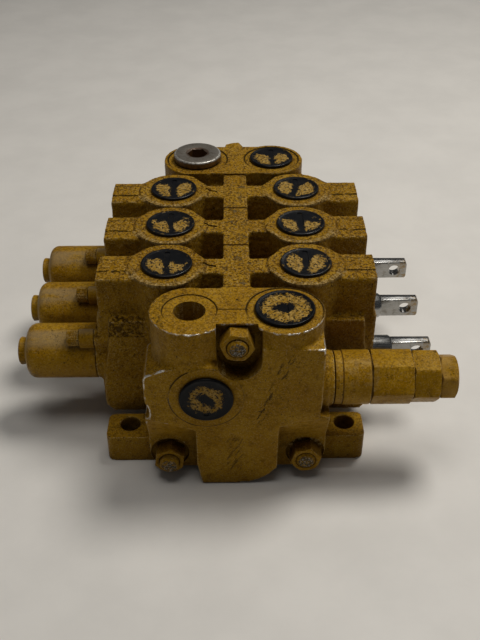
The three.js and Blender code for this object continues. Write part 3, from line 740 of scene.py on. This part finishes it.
def cap_marks(s):
    """A pale streak high on the barrel's front, greasy dirt on its shoulder, brown underneath."""
    x, y, z = s.split(s.object_space())
    streak = s.ramp(s.noise(9, 4, 0.6, stretch=(0.3, 1, 1)), 0.3, 0.5)
    # A pale tan streak along the upper front of the barrel.
    pale_streak = s.product(s.between(y, -10, -4, 4), s.ramp(z, SPOOL_Z + 5, SPOOL_Z + 12), streak)
    under = s.product(s.ramp(z, SPOOL_Z, SPOOL_Z - 14), s.ramp(s.noise(7, 4, 0.6), 0.35, 0.6))
    neck = s.line(x, SPRING_CAP_NECK, 0.9)
    shoulder = s.product(s.ramp(x, -116, -123), s.ramp(z, SPOOL_Z + 2, SPOOL_Z - 8))
    greasy = s.product(shoulder, s.ramp(s.noise(3, 5, 0.7), 0.42, 0.52))
    return [
        (s.product(pale_streak, 0.55), STREAK_TAN, 0.0),
        (s.product(under, 0.55), OCHRE_BROWN, 0.0),
        (s.product(greasy, 0.75), SCUFF, 0.5),
        (s.product(neck, 0.6), OCHRE_DUSTY, 0.0),
    ]


def stud_marks(s):
    """The rod's flat end is scuffed through to dark metal."""
    x, y, z = s.split(s.object_space())
    tip = s.product(s.ramp(y, 1.0, 0.4), s.ramp(s.distance(x, z), 4.6, 4.0))
    worn = s.product(tip, s.ramp(s.noise(1.5, 5, 0.75), 0.42, 0.5))
    bright = s.product(tip, s.ramp(s.noise(0.8, 5, 0.75), 0.55, 0.6))
    return [(worn, (0.05, 0.042, 0.03), 1.0), (bright, (0.36, 0.34, 0.31), -0.4)]


def relief_marks(s):
    """Dark joints between the turned steps, a dusty front, browner towards the bottom."""
    x, y, z = s.split(s.object_space())
    joints = s.highest(s.line(x, RELIEF_COLLAR, 0.5), s.line(x, RELIEF_BARREL, 0.4),
                       s.line(x, RELIEF_GROOVE + 0.4, 0.8))
    blotches = s.ramp(s.noise(4, 4, 0.7), 0.42, 0.6)
    dust = s.product(s.between(y, -13, -5, 3), s.between(x, 56, 76, 3), blotches)
    # Browner in blotches towards the bottom.
    under = s.product(s.ramp(z, -7, -13), s.ramp(s.noise(7, 4, 0.6), 0.35, 0.6))
    return [
        (s.product(joints, 0.85), GRIME_AND_SHADE, 1.2),
        (s.product(dust, 0.2), DUST_PALE, 0.0),
        (s.product(under, 0.4), OCHRE_BROWN, 0.0),
    ]


def adjuster_marks(s):
    """The screw's cap has been handled: its paint is rubbed to a dusty tan."""
    rubbed = s.ramp(s.noise(8, 4, 0.6), 0.3, 0.6)
    return [(s.product(rubbed, 0.55), (0.33, 0.19, 0.05), 0.0)]


# ---- The valve's materials ----
CAST_PAINT = paint("cast_paint", grain=1.25, wear=0.75, marks=section_marks)
INLET_PAINT = paint("inlet_paint", grain=0.5, wear=0.9, gloss=0.4, marks=inlet_marks, silver=inlet_silver)
OUTLET_PAINT = paint("outlet_paint", grain=0.9, wear=0.6, marks=outlet_marks)
CAP_PAINT = paint("cap_paint", grain=0.3, wear=0.6, gloss=0.4, marks=cap_marks, crisp=True)
RELIEF_PAINT = paint("relief_paint", grain=0.25, wear=0.85, gloss=0.34, marks=relief_marks, crisp=True)
ADJUSTER_PAINT = paint("adjuster_paint", grain=0.2, wear=1.0, gloss=0.42, marks=adjuster_marks, crisp=True)
FASTENER_PAINT = paint("fastener_paint", grain=0.4, wear=0.8, gloss=0.42, crisp=True)
STUD_PAINT = paint("stud_paint", grain=0.35, wear=0.5, marks=stud_marks, crisp=True)
STEEL = bare_steel("dull_steel")
PLUG_STEEL = plug_steel("plug_steel")
CHROME = chrome("spool_chrome")
SPRING_STEEL = bare_steel("spring_wire", color=(0.16, 0.16, 0.175), rust=0.1, gloss=0.3)
RUBBER = rubber("seal_rubber")


# ---- Work sections ----
SCREWS = arc(0, SPOOL_Z, SCREW_RING, SCREW_ANGLE, SCREW_ANGLE + 180, 1)


def section_shape(co):
    """The bars, webs and ridge stay as cast, just below the ground boss tops."""
    away = np.hypot(np.abs(co[:, 0]) - PORT_X, co[:, 1])
    as_cast = smooth(BOSS_R - 0.4, BOSS_R + 0.7, away)
    near_top = smooth(TOP - 7, TOP - 0.5, co[:, 2])
    bar_edges = np.maximum(smooth(6.4, 8.0, co[:, 1]), smooth(-4.4, -6.0, co[:, 1]))
    bar_edges *= smooth(BOSS_R + 1, BOSS_R + 3, away) * (np.abs(co[:, 0]) > PORT_X)
    co[:, 2] -= ((STOCK + BOSS_STEP) * as_cast + 0.45 * bar_edges) * near_top


def section_mesh():
    """One work section: the CAD casting with its galleries plugged, softened, then bored cleanly."""
    planes = [(2, 1, TOP), (1, 1, HALF), (1, -1, HALF), (0, -1, SEAT_X)]
    plugs = [block(-46, 46, -HALF, -HALF + 3, 8, 86), block(-46, 46, HALF - 3, HALF, 8, 86)]
    plugs += [rod("Y", ROD_PLUG_R, -HALF, HALF, (x, 0, z)) for x, z in RODS.values()]
    plugs += [rod("Z", 11, 50, TOP + STOCK, (side * PORT_X, 0, 0)) for side in (-1, 1)]
    plugs += [rod("X", 12, -SEAT_X - STOCK, 81, (0, 0, SPOOL_Z))]
    plugs += [rod("X", 3.8, -SEAT_X - STOCK, -65, (0, y, z)) for y, z in SCREWS]
    parts = [from_cad("work_section_1", ROWS[0], planes), *plugs]
    data = cast("section", parts, 0.9, 6, planes, 0.6, section_shape)
    dash = arc(-18.4, 1.6, 1.0, 105, 285, 6) + arc(-12.2, -0.9, 0.9, -75, 105, 6)
    cutters = [rod("X", 8.25, -90, 90, (0, 0, SPOOL_Z)), rod("X", 11.3, 76.7, 90, (0, 0, SPOOL_Z))]
    cutters += [prism(dash, "Z", TOP - 2.4, TOP + 2)]
    cutters += [rod("Z", PORT_BORE_R, 82, TOP + 3, (side * PORT_X, 0, 0)) for side in (-1, 1)]
    cutters += [rod("Y", ROD_HOLE_R, -HALF - 3, HALF + 3, (x, 0, z)) for x, z in RODS.values()]
    return carve(data, *cutters)


section = section_mesh()
for number, row in enumerate(ROWS, 1):
    node = f"work_section_{number}"
    piece(f"section_casting_{number}", section, CAST_PAINT, [node], (0, row, 0))


# ---- Covers ----
def inlet_mesh():
    """The front cover: softened casting with crisp spotfaces, ports, nut seats and creases."""
    planes = [(2, 1, TOP), (1, 1, HALF), (1, -1, PORT_FACE)]
    plugs = [rod("Z", 11, 60, TOP + STOCK, (-COVER_X, 0, 0))]
    plugs += [rod("Z", 15, 60, TOP + STOCK, (COVER_X, 0, 0))]
    plugs += [rod("Y", 12, -PORT_FACE - STOCK, 5, (FRONT_PORT[0], 0, FRONT_PORT[1]))]
    plugs += [rod("X", 12, -20, 53.3, (0, 0, RELIEF_Z))]
    plugs += [block(-44, 44, HALF - 4, HALF, 8, 94)]
    plugs += [rod("Y", ROD_PLUG_R, -9, HALF, (x, 0, z)) for x, z in RODS.values()]
    floor = arc(1, 91, 12, 180, 360, 16)
    plugs += [prism(floor, "Y", -21, -9)]
    parts = [from_cad("inlet_cover", 0, planes), *plugs]
    data = cast("inlet", parts, 0.75, 5, planes, 0.12)
    cutters = [
        prism([*floor, (13, 108.6), (-11, 108.6)], "Y", -30, -10),
        block(-11.2, 10.9, -30, -12, 100, TOP + 2),
        rod("Z", 8.7, 70, TOP + 3, (-COVER_X, 0, 0), 72),
        rod("Z", COVER_FACES["inlet left"], TOP - 0.35, TOP + 3, (-COVER_X, 0, 0), 96),
        rod("Z", COVER_FACES["inlet right"], TOP - 0.3, TOP + 3, (COVER_X, 0, 0), 96),
        rod("Z", 12.3, 86, TOP + 3, (COVER_X, 0, 0), 64),
        rod("Y", PORT_BORE_R, -30, 0, (FRONT_PORT[0], 0, FRONT_PORT[1]), 64),
        rod("X", 10, 10, 60, (0, 0, RELIEF_Z)),
        block(-11.0, 5.1, CREASE_Y - 0.25, CREASE_Y + 0.25, TOP - 0.4, TOP + 2),
    ]
    cutters += [rod("Y", 11.2, -40, -8, (x, 0, z), 64) for x, z in (RODS["left"], RODS["right"])]
    cutters += [rod("Y", ROD_HOLE_R, -30, 30, (x, 0, z)) for x, z in RODS.values()]
    return carve(data, *cutters)


def outlet_mesh():
    """The rear cover: softened casting with crisp spotfaces and ports."""
    planes = [(2, 1, TOP), (1, -1, HALF)]
    plugs = [rod("Z", 15, 60, TOP + STOCK, (side * COVER_X, 0, 0)) for side in (-1, 1)]
    plugs += [block(-44, 44, -HALF, -HALF + 4, 8, 94)]
    plugs += [rod("Y", ROD_PLUG_R, -HALF, 21, (x, 0, z)) for x, z in RODS.values()]
    parts = [from_cad("outlet_cover", LAST_ROW, planes), *plugs]
    data = cast("outlet", parts, 0.95, 6, planes, 0.3)
    cutters = [
        rod("Z", COVER_FACES["outlet left"], TOP - 0.3, TOP + 3, (-COVER_X, 0, 0), 96),
        rod("Z", 13.1, 88, TOP + 3, (-COVER_X, 0, 0), 64),
        rod("Z", COVER_FACES["outlet right"], TOP - 0.3, TOP + 3, (COVER_X, 0, 0), 96),
        rod("Z", PORT_BORE_R, 88, TOP + 3, (COVER_X, 0, 0), 64),
    ]
    cutters += [rod("Y", ROD_HOLE_R, -30, 30, (x, 0, z)) for x, z in RODS.values()]
    return carve(data, *cutters)


piece("inlet_casting", inlet_mesh(), INLET_PAINT, ["inlet_cover"])
piece("outlet_casting", outlet_mesh(), OUTLET_PAINT, ["outlet_cover"], (0, LAST_ROW, 0))


# ---- Dust caps ----
def cap_mesh(head, plug):
    """A moulded cap: rolled rim, slightly domed face in it, shallow turning slot, hollow plug."""
    rim = [(z, r) for r, z in arc(head - 0.75, 1.1, 0.75, 0, 100, 7)]
    profile = [(-0.8, 0), (-0.8, plug - 1.6), (-9, plug - 1.6), (-9, plug), (0.3, plug), (0.3, head), *rim]
    profile += [(1.55, head - 1.7), (1.4, head - 2.4), (1.5, head * 0.6), (1.65, head * 0.3), (1.7, 0)]
    shell = mesh_of("cap", revolve(profile, "Z", segments=72))
    half, reach = 1.8, head - 5
    slot = arc(0, reach, half, 0, 180, 8) + arc(0, -reach, half, 180, 360, 8)
    return carve(shell, prism(slot, "Z", 1.0, 5))


# How the overspray lies on each cap, as black_plastic() takes it.
CAP_PATTERNS = {
    "port_cap_1_left": ("bar", 0.14, -0.06, 1.5),
    "port_cap_1_right": ("bar", 0.52, 0.12, 1.6),
    "port_cap_2_left": ("bar", 0.24, -0.12, 1.5),
    "port_cap_2_right": ("bar", 0.22, 0.02, 2.1),
    "port_cap_3_left": ("bar", 0.46, 0.0, 1.9),
    "port_cap_3_right": ("bar", 0.58, 0.30, 1.9),
    "outlet_top_cap": ("bar", 0.28, -0.1, 1.8),
    "inlet_top_cap": ("core", 12.6, 6.2, 4.0, 0.2),
    "inlet_front_cap": ("core", 9.0, 6.6, 3.0, -0.65),
}


def dust_caps():
    small = cap_mesh(SMALL_HEAD, 9.9)
    large = cap_mesh(LARGE_HEAD, 12)
    upright = Matrix.Identity(4)
    facing = Matrix.Rotation(math.radians(90), 4, "X")
    rows = [("inlet_top_cap", large, (COVER_X, 0, TOP), upright)]
    rows += [("outlet_top_cap", small, (COVER_X, LAST_ROW, TOP), upright)]
    rows += [("inlet_front_cap", small, (FRONT_PORT[0], -PORT_FACE, FRONT_PORT[1]), facing)]
    for number, row in enumerate(ROWS, 1):
        for side, sign in (("left", -1), ("right", 1)):
            rows.append((f"port_cap_{number}_{side}", small, (sign * PORT_X, row, TOP), upright))
    for seed, (name, data, at, turn) in enumerate(rows, 1):
        head = LARGE_HEAD if data is large else SMALL_HEAD
        material = black_plastic(f"plastic_{name}", head, seed, CAP_PATTERNS[name])
        made = piece(f"moulded_{name}", data.copy(), material, [name], at)
        made.matrix_world = Matrix.Translation(place(*at)) @ turn
        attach(made, HOUSING)


dust_caps()


# ---- Plug ----
def plug_mesh():
    head, rise = 16.1, 5.0
    profile = [(-18, 0), (-18, 12.8), (0.3, 12.8), (0.3, head - 0.5), (0.8, head), (rise - 0.9, head),
               (rise - 0.3, head - 0.3), (rise, head - 0.9), (rise, 0)]
    body = mesh_of("plug", revolve(profile, "Z", segments=96))
    socket = prism(hexagon(0, 0, 12.3), "Z", -6, rise + 2)
    flare = [(rise - 0.6, 0), (rise - 0.6, 6.4), (rise + 0.2, 7.6), (rise + 0.2, 0)]
    return carve(body, socket, revolve(flare, "Z", segments=64))


piece("hex_plug", plug_mesh(), PLUG_STEEL, ["outlet_socket_plug"], (-COVER_X, LAST_ROW, TOP))


# ---- Tie rods and nuts ----
def nut_mesh(turn):
    """A hexagon nut with both faces chamfered, bored to clear its rod."""
    flats, thick, corner = 16, 9.5, 9.4
    body = mesh_of("nut", prism(hexagon(0, 0, flats, turn), "Y", 0, thick))
    cone = [(-1, 0), (-1, 6.6), (0, flats / 2), (0.9, corner), (thick - 0.9, corner), (thick, flats / 2),
            (thick + 1, 6.6), (thick + 1, 0)]
    chamfered = joined("INTERSECT", body, mesh_of("cone", revolve(cone, "Y")))
    mouth = revolve([(-1, 0), (-1, 7.2), (0.5, 5.8), (0.5, 0)], "Y")
    return rounded(carve(chamfered, rod("Y", 5.8, -1, 11), mouth), 0.3)


def rod_mesh(length):
    """A tie rod with rolled thread at both ends and pointed tips."""
    radius, depth, pitch, tip = 5.55, 0.4, 1.4, 1.6
    profile = [(0, 0), (0, 4.0), (0.2, 4.2), (tip, radius - 0.1)]
    threads = int(22 / pitch)
    for i in range(threads):
        start = tip + 0.2 + i * pitch
        profile += [(start, radius - depth), (start + pitch / 2, radius)]
    profile += [(tip + 0.2 + threads * pitch, radius - 0.2)]
    profile += [(length - along, r) for along, r in reversed(profile)]
    return mesh_of("tie_rod", revolve(profile, "Y", segments=40))


FRONT_TURNS = {"top": -6, "left": 22, "right": 12}
for rod_name, (x, z) in RODS.items():
    low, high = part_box(f"tie_rod_{rod_name}")
    start = (low.y - FRONT_Y) / MM
    length = (high.y - low.y) / MM
    node = f"tie_rod_{rod_name}"
    piece(f"threaded_rod_{rod_name}", rod_mesh(length), STUD_PAINT, [node], (x, start, z))
    for end, turn in (("front", FRONT_TURNS[rod_name]), ("rear", 10)):
        node = f"{end}_nut_{rod_name}"
        near = (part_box(node)[0].y - FRONT_Y) / MM
        piece(f"hex_{node}", nut_mesh(turn), FASTENER_PAINT, [node], (x, near, z))


# ---- Spring caps and their screws ----
EAR_R = 5.2
EAR_END = -92.7
HEAD_END = -100


def spring_cap_mesh():
    """Deep-drawn spring cap: barrel, domed shoulder, end button, and two screw ears."""
    seat, axis = SPRING_CAP_SEAT, (0, 0, SPOOL_Z)
    quarter = np.linspace(0, math.pi / 2, 10)
    dome = [(-120.6 - 5.6 * math.sin(a), 11.6 + 5.1 * math.cos(a)) for a in quarter]
    button = [(-126.5, 9.2), (-126.8, 8.3), (-127.6, 8.1), (-130.4, 8.5), (-131.1, 8.3), (-131.6, 7.6),
              (-131.6, 5.6), (-131.1, 5.2), (-131.1, 0)]
    profile = [(seat, 0), (seat, 16.3), (seat - 0.4, 16.7), *dome, *button]
    barrel = mesh_of("barrel", revolve(profile, "X", axis, 96))
    (y0, z0), (y1, z1) = SCREWS
    ends = arc(y0, z0, EAR_R, SCREW_ANGLE - 90, SCREW_ANGLE + 90)
    ends += arc(y1, z1, EAR_R, SCREW_ANGLE + 90, SCREW_ANGLE + 270)
    ears = rounded(mesh_of("ears", prism(ends, "X", EAR_END, seat)), 0.5)
    shell = joined("UNION", barrel, ears)
    hollow = [(-80, 0), (-80, 12), (-113, 12), (-113, 6.6), (-128.2, 6.6), (-128.2, 0)]
    cavity = revolve(hollow, "X", axis)
    holes = [rod("X", 3.2, -99, -80, (0, y, z)) for y, z in SCREWS]
    room = [(HEAD_END - 1.2, 0), (HEAD_END - 0.3, 5.35), (EAR_END, 5.35), (EAR_END, 0)]
    rooms = [revolve(room, "X", (0, y, z), 40) for y, z in SCREWS]
    return carve(shell, cavity, *holes, *rooms)


def cap_screw_mesh():
    """A socket-head cap screw with a knurled head, pointing along X from its head."""
    head, knurls = 5.0, 32
    outline = []
    for i in range(knurls * 2):
        radius = head - (0.3 if i % 2 else 0)
        angle = math.pi * i / knurls
        outline.append((radius * math.cos(angle), radius * math.sin(angle)))
    crown = revolve([(0, 0), (0, head - 1.0), (0.7, head - 0.35), (0.7, 0)], "X")
    shank = revolve([(6.9, 0), (6.9, 2.9), (30, 2.9), (30, 0)], "X", segments=32)
    knurl = prism(outline, "X", 0.6, 7.0)
    solids = [mesh_of("knurl", knurl), mesh_of("crown", crown), mesh_of("shank", shank)]
    return carve(joined("UNION", *solids), prism(hexagon(0, 0, 5, 15), "X", -1, 3.5))


spring_cap = spring_cap_mesh()
cap_screw = cap_screw_mesh()
for number, row in enumerate(ROWS, 1):
    piece(f"spring_cap_{number}", spring_cap, CAP_PAINT, [f"spool_cap_{number}"], (0, row, 0))
    for level, (y, z) in zip(("upper", "lower"), SCREWS):
        node = f"spool_cap_screw_{number}_{level}"
        at = (HEAD_END, row + y, z)
        piece(f"socket_screw_{number}_{level}", cap_screw, FASTENER_PAINT, [node], at)


# ---- Spools ----
def spool_mesh():
    """A ground spool: lands with lead chamfers, tail with its head, and a flat drilled tongue."""
    radius, neck = 7.95, 5.0
    tongue, end, half, rise, eye, corner = 94, 118, 3.2, 6.4, 109.7, 2.2
    profile = [(-116.5, 0), (-116.5, 5.0), (-115.7, 5.8), (-113.4, 5.8), (-113, 5.4), (-113, 4), (-86, 4),
               (-86, 7.3), (-85.4, radius)]
    for x in (-31, -11, 11, 31):
        profile += [(x - 6, radius), (x - 4.5, neck), (x + 4.5, neck), (x + 6, radius)]
    profile += [(tongue - 1.6, radius), (tongue - 0.6, 7.2), (tongue, 6.95), (end, 6.75), (end, 0)]
    data = mesh_of("spool", revolve(profile, "X", segments=72))
    cutters = [block(tongue, end + 2, half, 10, -10, 10), block(tongue, end + 2, -10, -half, -10, 10)]
    cutters += [block(tongue, end + 2, -10, 10, rise, 10), block(tongue, end + 2, -10, 10, -10, -rise)]
    cutters += [rod("Y", 3.9, -10, 10, (eye, 0, 0), 48)]
    for sign in (1, -1):
        a, b = end - corner, sign * (rise - corner)
        span = arc(a, b, corner, 0, sign * 90, 8)
        cutters.append(prism([*span, (a, sign * 8), (end + 1, sign * 8), (end + 1, b)], "Y", -10, 10))
    return rounded(carve(data, *cutters), 0.45, 3, 50)


spool = spool_mesh()
for number, row in enumerate(ROWS, 1):
    node = f"spool_{number}"
    piece(f"ground_{node}", spool, CHROME, [node], (0, row, SPOOL_Z), body=node)


# ---- Relief valve ----
def hexed(flats, turn, start, end, corner, chamfer):
    """A hexagon along X whose corners are turned off at both ends."""
    body = mesh_of("hex", prism(hexagon(0, 0, flats, turn), "X", start, end))
    cone = [(start - 0.1, 0), (start - 0.1, corner - chamfer), (start + chamfer * 0.6, corner),
            (end - chamfer * 0.6, corner), (end + 0.1, corner - chamfer), (end + 0.1, 0)]
    return joined("INTERSECT", body, mesh_of("cone", revolve(cone, "X", segments=96)))


def relief_pieces():
    """The cartridge with its turned collar and barrel, its lock nut, and the adjusting screw's cap."""
    collar, step, groove = RELIEF_COLLAR, RELIEF_BARREL, RELIEF_GROOVE
    turned = [(-4, 0), (-4, 9.7), (collar, 9.7), (collar, 14.6), (collar + 0.4, 15), (step - 0.4, 15),
              (step - 0.1, 14.8), (step + 0.2, 15), (step + 0.6, 15.4), (groove - 0.5, 15.4),
              (groove, 14.9), (groove, 13.6), (RELIEF_HEX, 13.6), (RELIEF_HEX, 0)]
    barrel = mesh_of("barrel", revolve(turned, "X", segments=96))
    cartridge = joined("UNION", barrel, hexed(27.6, 0, 74.5, 97.1, 15.6, 0.7))
    cartridge = carve(cartridge, rod("X", 3.4, -5, 6), rod("X", 7, 5, 100))
    nut = carve(hexed(26.9, 9, 97.4, 111.9, 15.3, 1.3), rod("X", 7, 96, 113))
    stem = mesh_of("stem", rod("X", 6.7, 84, 113))
    screw = joined("UNION", hexed(23, 28, 112.2, 122.2, 13.0, 2.0), stem)
    at = (0, 0, RELIEF_Z)
    piece("relief_cartridge", rounded(cartridge, 0.25), RELIEF_PAINT, ["relief_body"], at)
    piece("relief_jam_nut", rounded(nut, 0.35), RELIEF_PAINT, ["relief_lock_nut"], at)
    piece("relief_set_screw", rounded(screw, 0.45, 3), ADJUSTER_PAINT, ["relief_adjuster"], at)


relief_pieces()


# ---- CAD nodes that stay, hidden inside the housings ----
def keep(prefixes, material):
    """Gives a material to the CAD nodes whose names start so."""
    for name, node in CAD_NODES.items():
        if name.startswith(prefixes):
            node.data.materials.clear()
            node.data.materials.append(material)


keep(("centring_spring", "load_check_spring", "relief_spring"), SPRING_STEEL)
keep(("inner_collar", "outer_collar", "load_check_poppet", "relief_poppet"), STEEL)
keep(("spool_seal",), RUBBER)


# ---- Stage, light and camera ----
def stage_material(name, color, rough):
    s = Shader(name)
    tint = s.mix(s.ramp(s.noise(60, 5, 0.6), 0.3, 0.7), color, tuple(c * 0.93 for c in color))
    return s.finish(tint, rough, 0.0, s.bump(s.noise(2.0, 3), 0.08, 0.1))


def make_stage():
    floor = object_of("floor", mesh_of("floor", block(-2500, 2500, -2500, 2500, -20, -0.05)))
    floor.data.materials.append(stage_material("pale_floor", (0.74, 0.71, 0.66), 0.65))


def make_light(name, at, aim, size, power, color):
    data = bpy.data.lights.new(name, "AREA")
    data.shape, data.size, data.energy, data.color = "DISK", size, power, color
    made = bpy.data.objects.new(name, data)
    bpy.context.scene.collection.objects.link(made)
    made.location = Vector(at)
    made.rotation_euler = (Vector(aim) - Vector(at)).to_track_quat("-Z", "Y").to_euler()


def make_camera():
    """The photo's angle: from the front, looking down over the stack."""
    data = bpy.data.cameras.new("camera")
    data.lens, data.sensor_width, data.clip_start = 49.54, 36, 0.02
    made = bpy.data.objects.new("camera", data)
    bpy.context.scene.collection.objects.link(made)
    made.location = place(-3.42, -377.5, 384.0)
    made.rotation_euler = (math.radians(90 - 36.62), 0, math.radians(-0.75))
    bpy.context.scene.camera = made


make_stage()
make_light("key", (0.47, 0.26, 1.3), (0, 0, 0), 0.5, 11.4, (1.0, 0.975, 0.93))
make_light("overhead", (-0.08, -0.2, 1.35), (0, 0, 0), 0.6, 3.4, (1.0, 0.98, 0.95))
make_light("rear_softbox", (0.62, 1.05, 1.05), (0.1, 0, 0.05), 0.42, 0.9, (1.0, 0.98, 0.95))
world = bpy.data.worlds.new("world")
world.use_nodes = True
world.node_tree.nodes["Background"].inputs["Color"].default_value = (0.85, 0.87, 0.9, 1)
world.node_tree.nodes["Background"].inputs["Strength"].default_value = 0.07
bpy.context.scene.world = world
bpy.context.scene.view_settings.view_transform = "Standard"
make_camera()
